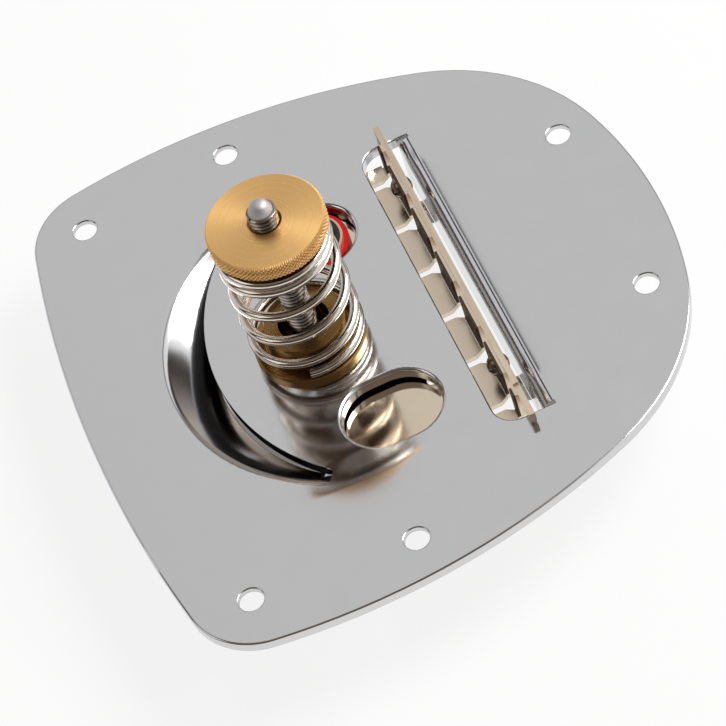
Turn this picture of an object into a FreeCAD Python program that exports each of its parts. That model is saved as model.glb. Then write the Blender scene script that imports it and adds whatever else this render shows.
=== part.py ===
import FreeCAD, Part
import math, os

Vector = FreeCAD.Vector

# Guitar tremolo tailpiece with its underside up, in millimetres.
# The origin lies on the underside of the base plate, midway between the middle pair of screw holes.
# X runs to the front, where the strings leave, and Z points out of the underside, along the spring post.

# Base plate
plate_thickness = 2.0
plate_length = 98.6
plate_width = 103.4
plate_edge_round = 0.35
post_behind_origin = 0.9
post_to_rear_edge = 38.8
widest_behind_post = 7.0
rear_edge_share = 2.15
rear_corner_radius = 12.0
side_share = 1.166
shoulder_share = 0.35
nose_share = 0.73

# Screw holes of the base plate, countersunk on the top side
mount_hole_radius = 2.0
mount_edge_round = 0.25
countersink_depth = 1.1
rear_pair_to_rear_edge = 13.2
rear_pair_to_side = 10.05
middle_pair_to_side = 7.55
front_pair_to_front_edge = 8.9
front_pair_spacing = 35.7

# Half-moon hood, a dome that opens forwards over the rear of the lever
hood_rim_radius = 30.4
hood_ahead_of_post = 6.4
hood_dome_radius = 50.0
hood_bend_radius = 3.0
mouth_radius = 36.6
mouth_ahead_of_post = 20.2
hood_tip_behind_post = 8.4
hood_core_share = 0.5

# Oval windows for the end of the arm socket, one for each hand
window_length = 16.3
window_width = 12.9
window_edge_round = 0.6
window_ahead_of_post = 6.5
arm_aside = 19.3

# Pivot slot and the tongue that is bent to the top side at its front
slot_rear_ahead_of_post = 20.1
slot_length = 63.2
slot_corner_radius = 3.7
slot_edge_round = 0.3
tongue_face_ahead_of_post = 27.2
tongue_inner_radius = 0.15
tongue_depth = 8.6
tongue_side_gap = 0.6

# Lever, the string plate
lever_thickness = 0.9
lever_gap = 0.75
lever_width = 60.0
lever_rear_margin = 2.2
lip_width = 58.8
lip_height = 2.7
lip_inner_radius = 0.25
string_count = 6
string_pitch = 10.42
string_slot_width = 1.6
string_slot_ahead_of_post = 13.4
string_notch_width = 3.2
string_funnel_length = 1.3
post_hole_radius = 3.3

# Pivot plate with its ears and its two knife feet
pivot_thickness = 0.97
pivot_width = 60.8
pivot_depth = 3.9
crown_width = 54.6
crown_height = 2.9
ear_span = 67.4
ear_height = 2.4
ear_clearance = 0.45
foot_aside = 20.8
foot_width = 5.4
knife_clearance = 0.05
knife_relief = 1.7
knife_depth = 7.6
knife_flank = 0.6
knife_heel = 0.4
knife_heel_drop = 0.4
heel_rise = 0.6

# Pivot rivets
rivet_radius = 1.0
rivet_fit = 0.04
rivet_rise = 0.7
rivet_head_radius = 1.8
rivet_head_height = 1.15
rivet_tail_radius = 1.5
rivet_tail_height = 0.6

# Tension screw and its cup washer
screw_radius = 2.4
screw_end_height = 34.4
screw_point_length = 2.7
screw_point_radius = 0.9
head_radius = 4.4
head_rim = 1.2
head_crown = 1.4
head_clearance = 0.55
recess_length = 5.0
recess_width = 1.1
recess_depth = 1.5
cup_radius = 5.6
cup_bore_radius = 3.0
cup_thickness = 1.3
cup_chamfer = 0.5

# Spring collar
collar_flange_radius = 9.2
collar_flange = 1.1
collar_sleeve_radius = 6.7
collar_height = 5.2
collar_bore_radius = 4.2
collar_spigot_radius = 5.0
collar_spigot_inset = 0.3
collar_chamfer = 0.3
collar_fit = 0.03

# Tension spring
wire_diameter = 1.6
spring_radius = 9.4
spring_seat_gap = 0.3
foot_coil_gap = 1.25
head_coil_gap = 0.45
end_turns = 1
active_turns = 3
quarters_in_turn = 4
wire_end_turn_share = -0.297
points_in_arc = 12

# Tension nut
nut_radius = 9.525
nut_thickness = 3.0
nut_seat_height = 27.1
nut_chamfer = 0.4
thread_fit = 0.05

# Arm socket with its bushing, washer and clip
arm_ahead_of_post = 7.3
arm_bore_radius = 3.05
bushing_radius = 3.95
bushing_end_inset = 0.5
socket_fit = 0.05
socket_radius = 4.75
socket_top_depth = 17.5
socket_end_depth = 0.15
socket_shoulder_radius = 7.0
socket_shoulder = 1.8
socket_chamfer = 0.5
washer_radius = 6.05
washer_thickness = 1.7
clip_radius = 5.15
clip_thickness = 0.7
clip_groove = 0.35
clip_opening = 2.4

# One overrun for all cuts, and a tolerance to pick edges by
overrun = 1.0
pick_tolerance = 0.001

# Places that follow from the sizes
post_x = -post_behind_origin
rear_x = post_x - post_to_rear_edge
front_x = rear_x + plate_length
half_width = plate_width / 2
rear_edge_radius = rear_edge_share * plate_width
side_radius = side_share * plate_length
shoulder_radius = shoulder_share * plate_width
nose_radius = nose_share * plate_width
top_z = -plate_thickness
lever_under_z = top_z - lever_gap
lever_top_z = lever_under_z - lever_thickness
mouth_x = post_x + mouth_ahead_of_post
slot_rear_x = post_x + slot_rear_ahead_of_post
tongue_face_x = post_x + tongue_face_ahead_of_post
tongue_bend_radius = tongue_inner_radius + plate_thickness
bend_x = tongue_face_x + tongue_bend_radius
pivot_face_x = tongue_face_x - knife_clearance - knife_relief
pivot_rear_x = pivot_face_x - pivot_thickness
lip_rear_x = pivot_rear_x - lever_thickness
lip_bend_radius = lip_inner_radius + lever_thickness
lip_bend_x = pivot_rear_x - lip_bend_radius
arm_x = post_x + arm_ahead_of_post
window_x = post_x + window_ahead_of_post
all_depth = socket_top_depth + screw_end_height

UP = Vector(0, 0, 1)
FORWARD = Vector(1, 0, 0)
POST = Vector(post_x, 0, 0)
ARM = Vector(arm_x, arm_aside, 0)


def at(x, y, z=0):
    return Vector(x, y, z)


def cylinder(radius, low, high, centre):
    return Part.makeCylinder(radius, high - low, at(centre.x, centre.y, low), UP)


def ring(radius, bore, low, high, centre):
    inner = cylinder(bore, low - overrun, high + overrun, centre)
    return cylinder(radius, low, high, centre).cut(inner)


def block(x_range, y_range, z_range):
    size = [high - low for low, high in (x_range, y_range, z_range)]
    return Part.makeBox(*size, at(x_range[0], y_range[0], z_range[0]))


def arc(centre, start, end):
    # the shorter arc about a centre, from one point to another
    middle = (start - centre) + (end - centre)
    middle.normalize()
    return Part.Arc(start, centre + middle * (start - centre).Length, end).toShape()


def line(start, end):
    return Part.LineSegment(start, end).toShape()


def face(edges):
    return Part.Face(Part.Wire(Part.__sortEdges__(edges)))


def polygon(points):
    return Part.Face(Part.makePolygon(points + points[:1]))


def along_y(flat, width):
    # a section in the XZ plane made into a bar that is centred on the middle of the part
    bar = flat.extrude(at(0, width, 0))
    bar.translate(at(0, -width / 2, 0))
    return bar


def joined(first, others):
    return first.fuse(others).removeSplitter()


def edges_at_height(solid, height):
    return [
        edge
        for edge in solid.Edges
        if all(abs(vertex.Z - height) < pick_tolerance for vertex in edge.Vertexes)
    ]


def circles_meet(first, first_radius, second, second_radius, towards):
    # where two circles cross, on the side that a direction points to
    gap = second - first
    reach = gap.Length
    along = (first_radius**2 - second_radius**2 + reach**2) / (2 * reach)
    aside = math.sqrt(first_radius**2 - along**2)
    gap.normalize()
    across = at(-gap.y, gap.x)
    if across.dot(towards) < 0:
        across = -across
    return first + gap * along + across * aside


def touch_point(outer, outer_radius, inner):
    # where a circle touches a smaller one inside it
    way = inner - outer
    way.normalize()
    return outer + way * outer_radius


def mirrored(point):
    return at(point.x, -point.y, point.z)


def plate_outline():
    rear = at(rear_x + rear_edge_radius, 0)
    side = at(post_x - widest_behind_post, half_width - side_radius)
    nose = at(front_x - nose_radius, 0)
    corner = circles_meet(
        rear, rear_edge_radius - rear_corner_radius, side, side_radius - rear_corner_radius, -FORWARD
    )
    shoulder = circles_meet(
        nose, nose_radius - shoulder_radius, side, side_radius - shoulder_radius, FORWARD
    )
    rear_end = touch_point(rear, rear_edge_radius, corner)
    side_start = touch_point(side, side_radius, corner)
    side_end = touch_point(side, side_radius, shoulder)
    nose_start = touch_point(nose, nose_radius, shoulder)
    edges = [arc(rear, mirrored(rear_end), rear_end), arc(nose, mirrored(nose_start), nose_start)]
    for centre, start, end in (
        (corner, rear_end, side_start),
        (side, side_start, side_end),
        (shoulder, side_end, nose_start),
    ):
        edges.append(arc(centre, start, end))
        edges.append(arc(mirrored(centre), mirrored(start), mirrored(end)))
    return face(edges)


def screw_hole(x, y):
    drill = cylinder(mount_hole_radius, top_z - overrun, overrun, at(x, y))
    sink_radius = mount_hole_radius + countersink_depth
    sink = Part.makeCone(sink_radius, mount_hole_radius, countersink_depth, at(x, y, top_z), UP)
    return drill.fuse(sink)


def screw_holes():
    pairs = (
        (rear_x + rear_pair_to_rear_edge, half_width - rear_pair_to_side),
        (0, half_width - middle_pair_to_side),
        (front_x - front_pair_to_front_edge, front_pair_spacing / 2),
    )
    return [screw_hole(x, side * aside) for x, aside in pairs for side in (-1, 1)]


def window(side):
    y = side * arm_aside
    end_radius = window_width / 2
    reach = window_length / 2 - end_radius
    span = (top_z - overrun, overrun)
    shape = block((window_x - reach, window_x + reach), (y - end_radius, y + end_radius), span)
    ends = [cylinder(end_radius, *span, at(window_x + end * reach, y)) for end in (-1, 1)]
    return joined(shape, ends)


def rims_within(plate, x_range, y_range):
    # the edges on the underside whose middle lies in a box, for both sides of the part
    rims = []
    for edge in edges_at_height(plate, 0):
        middle = edge.CenterOfMass
        places = ((middle.x, x_range), (abs(middle.y), y_range))
        if all(low - pick_tolerance < place < high + pick_tolerance for place, (low, high) in places):
            rims.append(edge)
    return rims


def mount_rims(plate):
    rims = edges_at_height(plate, 0)
    rounds = [rim for rim in rims if isinstance(rim.Curve, Part.Circle)]
    return [rim for rim in rounds if abs(rim.Curve.Radius - mount_hole_radius) < pick_tolerance]


def window_rims(plate):
    half_length = window_length / 2
    end_radius = window_width / 2
    x_range = (window_x - half_length, window_x + half_length)
    return rims_within(plate, x_range, (arm_aside - end_radius, arm_aside + end_radius))


def slot_rims(plate):
    # the slot's rear edge, corners and ends, but not the front, where the tongue starts
    return rims_within(plate, (slot_rear_x, bend_x - slot_corner_radius / 2), (0, slot_length / 2))


def pivot_slot():
    span = (top_z - overrun, overrun)
    slot = block((slot_rear_x, bend_x), (-slot_length / 2, slot_length / 2), span)
    corners = [
        edge
        for edge in slot.Edges
        if all(abs(vertex.X - slot_rear_x) < pick_tolerance for vertex in edge.Vertexes)
        and abs(edge.Vertexes[0].Z - edge.Vertexes[1].Z) > pick_tolerance
    ]
    return slot.makeFillet(slot_corner_radius, corners)


def tongue():
    bend = at(bend_x, 0, -tongue_bend_radius)
    outer_foot = at(tongue_face_x, 0, -tongue_bend_radius)
    inner_foot = at(bend_x - tongue_inner_radius, 0, -tongue_bend_radius)
    outer_end = at(tongue_face_x, 0, -tongue_depth)
    inner_end = at(bend_x - tongue_inner_radius, 0, -tongue_depth)
    section = face(
        [
            arc(bend, at(bend_x, 0, 0), outer_foot),
            line(outer_foot, outer_end),
            line(outer_end, inner_end),
            line(inner_end, inner_foot),
            arc(bend, inner_foot, at(bend_x, 0, top_z)),
            line(at(bend_x, 0, top_z), at(bend_x, 0, 0)),
        ]
    )
    return along_y(section, slot_length - 2 * tongue_side_gap)


def hood_parts():
    # the domed shell and the hole that it covers, both in the shape of the half-moon
    centre = at(post_x + hood_ahead_of_post, 0)
    dome_rise = math.sqrt(hood_dome_radius**2 - hood_rim_radius**2)
    dome = centre + UP * dome_rise
    bend_reach = hood_dome_radius + hood_bend_radius
    rim = math.sqrt(bend_reach**2 - (dome_rise + hood_bend_radius) ** 2)
    bend = centre + at(rim, 0, -hood_bend_radius)
    way = bend - dome
    way.normalize()
    outer_dome = hood_dome_radius + plate_thickness
    core = hood_core_share * (mouth_radius - mouth_ahead_of_post + hood_ahead_of_post)

    def on_dome(radius):
        return dome + at(core, 0, -math.sqrt(radius**2 - core**2))

    under_rim = centre + FORWARD * rim
    over_rim = under_rim + UP * top_z
    under_dome = dome + way * hood_dome_radius
    over_dome = dome + way * outer_dome
    section = face(
        [
            arc(bend, under_rim, under_dome),
            arc(dome, under_dome, on_dome(hood_dome_radius)),
            line(on_dome(hood_dome_radius), on_dome(outer_dome)),
            arc(dome, on_dome(outer_dome), over_dome),
            arc(bend, over_dome, over_rim),
            line(over_rim, under_rim),
        ]
    )
    shell = section.revolve(centre, UP, 360)

    tip_x = post_x - hood_tip_behind_post
    mouth_y = math.sqrt(mouth_radius**2 - (mouth_x - tip_x) ** 2)
    rim_y = math.sqrt(rim**2 - (centre.x - tip_x) ** 2)
    span = (-all_depth, overrun)
    moon = block((rear_x, tip_x), (-half_width, half_width), span)
    tip_radius = (rim_y - mouth_y) / 2
    tip_y = (rim_y + mouth_y) / 2
    tips = [cylinder(tip_radius, *span, at(tip_x, side * tip_y)) for side in (-1, 1)]
    mouth = cylinder(mouth_radius, -all_depth - overrun, 2 * overrun, at(mouth_x, 0))
    moon = moon.fuse(tips).cut(mouth)
    hole = cylinder(rim, top_z - overrun, overrun, centre).common(moon)
    return shell.common(moon), hole


def base_plate():
    plate = plate_outline().extrude(UP * -plate_thickness)
    rims = edges_at_height(plate, 0) + edges_at_height(plate, top_z)
    plate = plate.makeFillet(plate_edge_round, rims)
    shell, hole = hood_parts()
    post_hole = cylinder(collar_spigot_radius + collar_fit, top_z - overrun, overrun, POST)
    plate = plate.cut(screw_holes() + [window(-1), window(1), pivot_slot()])
    plate = plate.makeFillet(mount_edge_round, mount_rims(plate))
    plate = plate.makeFillet(window_edge_round, window_rims(plate))
    plate = plate.makeFillet(slot_edge_round, slot_rims(plate))
    return joined(plate.cut([post_hole, hole]), [shell, tongue()])


def spring_collar():
    flange = cylinder(collar_flange_radius, 0, collar_flange, POST)
    flange = flange.makeChamfer(collar_chamfer, edges_at_height(flange, collar_flange))
    sleeve = cylinder(collar_sleeve_radius, 0, collar_height, POST)
    sleeve = sleeve.makeChamfer(collar_chamfer, edges_at_height(sleeve, collar_height))
    spigot_end = top_z + collar_spigot_inset
    spigot = cylinder(collar_spigot_radius, spigot_end, 0, POST)
    bore = cylinder(collar_bore_radius, spigot_end - overrun, collar_height + overrun, POST)
    return joined(flange, [sleeve, spigot]).cut(bore)


def string_places():
    first = -string_pitch * (string_count - 1) / 2
    return [first + string_pitch * string for string in range(string_count)]


def rivet_places():
    # midway between the two outer strings on each side
    strings = string_places()
    return [(strings[0] + strings[1]) / 2, (strings[-2] + strings[-1]) / 2]


def lever_outline():
    radius = mouth_radius - lever_rear_margin
    half = lever_width / 2
    side_x = mouth_x - math.sqrt(radius**2 - half**2)
    corners = [
        at(side_x, -half, lever_top_z),
        at(lip_bend_x, -half, lever_top_z),
        at(lip_bend_x, half, lever_top_z),
        at(side_x, half, lever_top_z),
    ]
    edges = [line(start, end) for start, end in zip(corners[:-1], corners[1:])]
    edges.append(arc(at(mouth_x, 0, lever_top_z), corners[3], corners[0]))
    return face(edges)


def lever_lip():
    bend = at(lip_bend_x, 0, lever_top_z + lip_bend_radius)
    outer_foot = at(pivot_rear_x, 0, bend.z)
    inner_foot = at(lip_rear_x, 0, bend.z)
    outer_end = at(pivot_rear_x, 0, lip_height)
    inner_end = at(lip_rear_x, 0, lip_height)
    outer_start = at(lip_bend_x, 0, lever_top_z)
    inner_start = at(lip_bend_x, 0, lever_under_z)
    section = face(
        [
            arc(bend, outer_start, outer_foot),
            line(outer_foot, outer_end),
            line(outer_end, inner_end),
            line(inner_end, inner_foot),
            arc(bend, inner_foot, inner_start),
            line(inner_start, outer_start),
        ]
    )
    return along_y(section, lip_width)


def string_cut(y):
    # the slot in the flat of the lever, with a round end, and the funnel to the wider notch in its lip
    half_slot = string_slot_width / 2
    half_notch = string_notch_width / 2
    start_x = post_x + string_slot_ahead_of_post + half_slot
    funnel_x = lip_rear_x - string_funnel_length
    end_x = pivot_rear_x + overrun
    low = lever_top_z - overrun
    slot_span = (low, lever_under_z + overrun)
    slot = block((start_x, lip_rear_x), (y - half_slot, y + half_slot), slot_span)
    end = cylinder(half_slot, *slot_span, at(start_x, y))
    outline = polygon(
        [
            at(funnel_x, y - half_slot, low),
            at(lip_rear_x, y - half_notch, low),
            at(end_x, y - half_notch, low),
            at(end_x, y + half_notch, low),
            at(lip_rear_x, y + half_notch, low),
            at(funnel_x, y + half_slot, low),
        ]
    )
    notch = outline.extrude(UP * (lip_height + overrun - low))
    return slot.fuse([end, notch])


def rivet_hole(y):
    start = at(lip_rear_x - overrun, y, rivet_rise)
    length = pivot_face_x - lip_rear_x + 2 * overrun
    return Part.makeCylinder(rivet_radius + rivet_fit, length, start, FORWARD)


def lever_plate():
    flat = lever_outline().extrude(UP * lever_thickness)
    lever = joined(flat, [lever_lip()])
    span = (lever_top_z - overrun, lever_under_z + overrun)
    cuts = [cylinder(post_hole_radius, *span, POST), cylinder(socket_radius + socket_fit, *span, ARM)]
    cuts += [string_cut(y) for y in string_places()]
    cuts += [rivet_hole(y) for y in rivet_places()]
    return lever.cut(cuts)


def knife_foot():
    # one of the two feet, with the edge that rests on the tongue
    knife_x = tongue_face_x - knife_clearance
    section = polygon(
        [
            at(pivot_rear_x, 0, -pivot_depth),
            at(pivot_face_x, 0, -pivot_depth),
            at(pivot_face_x, 0, knife_flank - knife_depth),
            at(knife_x, 0, -knife_depth),
            at(knife_x - knife_heel, 0, -knife_depth - knife_heel_drop),
            at(pivot_rear_x, 0, heel_rise - knife_depth),
        ]
    )
    return along_y(section, foot_width)


def pivot_plate():
    depth = (pivot_rear_x, pivot_face_x)
    plate = block(depth, (-pivot_width / 2, pivot_width / 2), (-pivot_depth, ear_clearance))
    ears = block(depth, (-ear_span / 2, ear_span / 2), (ear_clearance, ear_height))
    crown = block(depth, (-crown_width / 2, crown_width / 2), (ear_clearance, crown_height))
    feet = [knife_foot().translated(at(0, side * foot_aside, 0)) for side in (-1, 1)]
    return joined(plate, [ears, crown] + feet).cut([rivet_hole(y) for y in rivet_places()])


def dome(radius, height, foot, way):
    # a round head: the part of a ball that stands out of a face
    ball_radius = (radius**2 + height**2) / (2 * height)
    ball = Part.makeSphere(ball_radius, foot + way * (height - ball_radius))
    return ball.common(Part.makeCylinder(radius, height, foot, way))


def pivot_rivets():
    rivets = []
    for y in rivet_places():
        rear = at(lip_rear_x, y, rivet_rise)
        front = at(pivot_face_x, y, rivet_rise)
        shank = Part.makeCylinder(rivet_radius, pivot_face_x - lip_rear_x, rear, FORWARD)
        head = dome(rivet_head_radius, rivet_head_height, rear, -FORWARD)
        tail = dome(rivet_tail_radius, rivet_tail_height, front, FORWARD)
        rivets.append(joined(shank, [head, tail]))
    return Part.makeCompound(rivets)


def screw_cup():
    high = lever_top_z
    low = lever_top_z - cup_thickness
    cup = cylinder(cup_radius, low, high, POST)
    cup = cup.makeChamfer(cup_chamfer, edges_at_height(cup, low))
    return cup.cut(cylinder(cup_bore_radius, low - overrun, high + overrun, POST))


def tension_screw():
    under_head = lever_top_z - cup_thickness - head_clearance
    rim_end = under_head - head_rim
    head_end = rim_end - head_crown
    point_z = screw_end_height - screw_point_length
    shank = cylinder(screw_radius, under_head, point_z, POST)
    point = Part.makeCone(screw_radius, screw_point_radius, screw_point_length, POST + UP * point_z, UP)
    rim = cylinder(head_radius, rim_end, under_head, POST)
    crown = dome(head_radius, head_crown, POST + UP * rim_end, -UP)
    screw = joined(shank, [point, rim, crown])
    long_half = recess_length / 2
    wide_half = recess_width / 2
    depth = (head_end - overrun, head_end + recess_depth)
    arms = [
        block((post_x - x, post_x + x), (-y, y), depth)
        for x, y in ((long_half, wide_half), (wide_half, long_half))
    ]
    return screw.cut(arms)


def spring_nodes():
    # places and directions along the centre line of the wire, one for each quarter turn
    mean_radius = spring_radius - wire_diameter / 2
    low = collar_flange + spring_seat_gap + wire_diameter / 2
    high = nut_seat_height - spring_seat_gap - wire_diameter / 2
    foot_rise = wire_diameter + foot_coil_gap
    head_rise = wire_diameter + head_coil_gap
    pitch = (high - low - end_turns * (foot_rise + head_rise)) / active_turns
    rises = [foot_rise] * end_turns + [pitch] * active_turns + [head_rise] * end_turns
    steps = [rise / quarters_in_turn for rise in rises for quarter in range(quarters_in_turn)]
    quarter_arc = 2 * math.pi * mean_radius / quarters_in_turn
    nodes = []
    height = low
    for index in range(len(steps) + 1):
        before = steps[max(index - 1, 0)]
        after = steps[min(index, len(steps) - 1)]
        angle = 2 * math.pi * (wire_end_turn_share + index / quarters_in_turn)
        place = at(post_x + mean_radius * math.cos(angle), mean_radius * math.sin(angle), height)
        way = at(-math.sin(angle), math.cos(angle)) * quarter_arc + UP * (before + after) / 2
        way.normalize()
        nodes.append((place, way))
        height += after
    return nodes


def tangent_arc(start, control, end):
    # the arc that leaves its start towards a control point and comes to its end from there
    middle = (start + end) / 2
    half_chord = (end - start).Length / 2
    slope = math.acos(half_chord / (control - start).Length)
    way = control - middle
    way.normalize()
    return Part.Arc(start, middle + way * (half_chord * math.tan(slope / 2)), end).toShape()


def biarc(start, start_way, end, end_way):
    # two arcs that meet smoothly between two places with given directions
    span = end - start
    ways = start_way + end_way
    square = ways.dot(ways) - 4
    linear = -2 * span.dot(ways)
    reach = (-linear - math.sqrt(linear**2 - 4 * square * span.dot(span))) / (2 * square)
    first = start + start_way * reach
    second = end - end_way * reach
    meeting = (first + second) / 2
    return [tangent_arc(start, first, meeting), tangent_arc(meeting, second, end)]


def least_coil_gap(path):
    # the least space between one turn of the wire and the next, on points along its centre line
    points = []
    for edge in path:
        points += edge.discretize(points_in_arc)[:-1]
    half_turn = quarters_in_turn * (points_in_arc - 1)
    gaps = [
        (points[later] - points[index]).Length
        for index in range(len(points))
        for later in range(index + half_turn, len(points))
    ]
    return min(gaps) - wire_diameter


def tension_spring():
    nodes = spring_nodes()
    path = []
    for (start, start_way), (end, end_way) in zip(nodes[:-1], nodes[1:]):
        path += biarc(start, start_way, end, end_way)
    start, way = nodes[0]
    section = Part.Wire(Part.Circle(start, way, wire_diameter / 2).toShape())
    spring = Part.Wire(path).makePipeShell([section], True, False)
    wire_length = sum(edge.Length for edge in path)
    wire_volume = wire_length * math.pi * (wire_diameter / 2) ** 2
    print("least gap between coils, mm:", round(least_coil_gap(path), 3))
    print("volume of the spring against section times length:", round(spring.Volume / wire_volume, 4))
    return spring


def tension_nut():
    top = nut_seat_height + nut_thickness
    nut = cylinder(nut_radius, nut_seat_height, top, POST)
    rims = edges_at_height(nut, nut_seat_height) + edges_at_height(nut, top)
    nut = nut.makeChamfer(nut_chamfer, rims)
    bore = cylinder(screw_radius + thread_fit, nut_seat_height - overrun, top + overrun, POST)
    return nut.cut(bore)


def clip_top_z():
    return lever_under_z + washer_thickness


def arm_socket():
    tube = cylinder(socket_radius, -socket_top_depth, -socket_end_depth, ARM)
    tube = tube.makeChamfer(socket_chamfer, edges_at_height(tube, -socket_top_depth))
    shoulder = cylinder(socket_shoulder_radius, lever_top_z - socket_shoulder, lever_top_z, ARM)
    shoulder = shoulder.makeChamfer(
        socket_chamfer, edges_at_height(shoulder, lever_top_z - socket_shoulder)
    )
    groove_floor = socket_radius - clip_groove - socket_fit
    groove_low = clip_top_z()
    groove_high = groove_low + clip_thickness + socket_fit
    groove = ring(socket_radius + overrun, groove_floor, groove_low, groove_high, ARM)
    bore_radius = bushing_radius + socket_fit
    bore = cylinder(bore_radius, -socket_top_depth - overrun, overrun, ARM)
    return joined(tube, [shoulder]).cut([groove, bore])


def arm_bushing():
    low = bushing_end_inset - socket_top_depth
    high = -socket_end_depth - bushing_end_inset
    return ring(bushing_radius, arm_bore_radius, low, high, ARM)


def socket_washer():
    return ring(washer_radius, socket_radius + socket_fit, lever_under_z, clip_top_z(), ARM)


def socket_clip():
    low = clip_top_z()
    high = low + clip_thickness
    clip = ring(clip_radius, socket_radius - clip_groove, low, high, ARM)
    half_gap = clip_opening / 2
    opening_x = (arm_x - clip_radius - overrun, arm_x)
    opening_y = (arm_aside - half_gap, arm_aside + half_gap)
    return clip.cut(block(opening_x, opening_y, (low - overrun, high + overrun)))


PIECES = (
    base_plate,
    spring_collar,
    lever_plate,
    pivot_plate,
    pivot_rivets,
    screw_cup,
    tension_screw,
    tension_spring,
    tension_nut,
    arm_socket,
    arm_bushing,
    socket_washer,
    socket_clip,
)

os.makedirs("parts", exist_ok=True)
for piece in PIECES:
    shape = piece()
    shape.exportStep(f"parts/{piece.__name__}.step")
    print(piece.__name__, shape.isValid(), len(shape.Solids), round(shape.Volume, 2))
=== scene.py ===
# %% [markdown]
# A tremolo tailpiece for a guitar, lying on its top side, so that the underside and the spring post show.
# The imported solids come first, as a fixed frame in metres. The later cells dress it piece by piece.
# Most solids already have their true shape and only need a finish. The spring, the nut and the screw have
# wound or turned detail that is easier to make as a mesh, and the base plate is a cleaned copy of its solid.

# %% Load the frame
import math

import bmesh
import bpy
from mathutils import Matrix, Vector


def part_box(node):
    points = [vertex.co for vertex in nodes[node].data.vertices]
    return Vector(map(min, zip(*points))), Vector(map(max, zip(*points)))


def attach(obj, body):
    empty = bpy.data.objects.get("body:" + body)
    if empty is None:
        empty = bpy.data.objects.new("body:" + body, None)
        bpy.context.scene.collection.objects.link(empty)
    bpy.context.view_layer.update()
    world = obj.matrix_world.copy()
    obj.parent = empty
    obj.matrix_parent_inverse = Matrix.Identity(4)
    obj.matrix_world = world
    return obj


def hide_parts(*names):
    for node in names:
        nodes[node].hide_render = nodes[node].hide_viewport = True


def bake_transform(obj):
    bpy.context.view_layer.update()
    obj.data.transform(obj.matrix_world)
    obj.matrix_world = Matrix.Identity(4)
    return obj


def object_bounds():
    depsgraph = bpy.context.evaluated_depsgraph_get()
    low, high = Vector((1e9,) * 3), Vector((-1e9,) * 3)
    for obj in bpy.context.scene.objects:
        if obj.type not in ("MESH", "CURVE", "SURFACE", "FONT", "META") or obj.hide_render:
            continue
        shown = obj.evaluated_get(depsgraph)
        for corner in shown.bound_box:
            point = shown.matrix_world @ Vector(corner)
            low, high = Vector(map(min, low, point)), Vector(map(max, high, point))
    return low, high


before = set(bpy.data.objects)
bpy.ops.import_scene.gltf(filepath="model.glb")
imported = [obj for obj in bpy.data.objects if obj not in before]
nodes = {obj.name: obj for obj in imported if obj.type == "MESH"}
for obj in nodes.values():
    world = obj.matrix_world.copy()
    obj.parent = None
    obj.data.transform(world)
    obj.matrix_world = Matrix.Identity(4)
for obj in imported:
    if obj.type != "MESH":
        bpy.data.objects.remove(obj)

cad_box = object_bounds()
mm = 0.001
print("nodes:", len(nodes), "box in mm:", [round((b - a) / mm, 1) for a, b in zip(*cad_box)])

# %% [markdown]
# A few small helpers serve every finish. Colours are written as the sRGB hex values that an eye would pick
# from a screen, and Blender wants them linear, so one function converts them. Another adds a shader node,
# sets its values and makes its links, which keeps each finish short enough to read. Sockets with a common
# name are called by number. A Mix of colours takes its share on 0 and its colours on 6 and 7, and gives the
# result on output 2. A Map Range takes a value on 0 and turns the range on 1 and 2 into the one on 3 and 4.

# %% Helpers for colours and shader nodes
# most of the noise that Blender draws lies between these two values
noise_low, noise_high = 0.3, 0.7


def linear(hex_colour):
    parts = [int(hex_colour[i : i + 2], 16) / 255 for i in (1, 3, 5)]
    return (*[p / 12.92 if p <= 0.04045 else ((p + 0.055) / 1.055) ** 2.4 for p in parts], 1.0)


def add(tree, kind, inputs=(), **settings):
    node = tree.nodes.new(kind)
    for name, value in settings.items():
        setattr(node, name, value)
    for socket, value in dict(inputs).items():
        if isinstance(value, bpy.types.NodeSocket):
            tree.links.new(value, node.inputs[socket])
        else:
            node.inputs[socket].default_value = value
    return node


def new_material(name):
    material = bpy.data.materials.new(name)
    material.use_nodes = True
    material.node_tree.nodes.clear()
    return material, material.node_tree


def finish_material(tree, shader):
    add(tree, "ShaderNodeOutputMaterial", {"Surface": shader.outputs[0]})


def dress(obj, material):
    obj.data.materials.clear()
    obj.data.materials.append(material)


white = linear("#FFFFFF")
print("white, linear:", white)

# %% [markdown]
# The camera stands where the photographer stood. Its place was found from the six screw holes, so the
# plate falls on the same pixels as in the picture. The picture is a long-lens shot from about half a
# metre, turned a little about its own line of sight, which a roll angle gives.

# %% Camera
image_width = 726
focal_pixels = 3416.3
sensor_mm = 36.0
camera_place = Vector((-23.7, -347.39, 415.59)) * mm
camera_target = Vector((4.75, -8.87, 0.0)) * mm
camera_roll = math.radians(-20.754)

camera_data = bpy.data.cameras.new("camera")
camera_data.sensor_width = sensor_mm
camera_data.lens = sensor_mm * focal_pixels / image_width
camera = bpy.data.objects.new("camera", camera_data)
bpy.context.scene.collection.objects.link(camera)
level = (camera_target - camera_place).to_track_quat("-Z", "Y").to_matrix()
turned = level @ Matrix.Rotation(camera_roll, 3, "Z")
camera.matrix_world = Matrix.Translation(camera_place) @ turned.to_4x4()
bpy.context.scene.camera = camera
bpy.context.scene.view_settings.view_transform = "Standard"
print("lens in mm:", round(camera_data.lens, 1))

# %% [markdown]
# The part lies on a table, which is a large flat grid at the lowest point of the part.

# %% Floor
floor_half = 3.0
floor_z = cad_box[0].z

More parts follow.
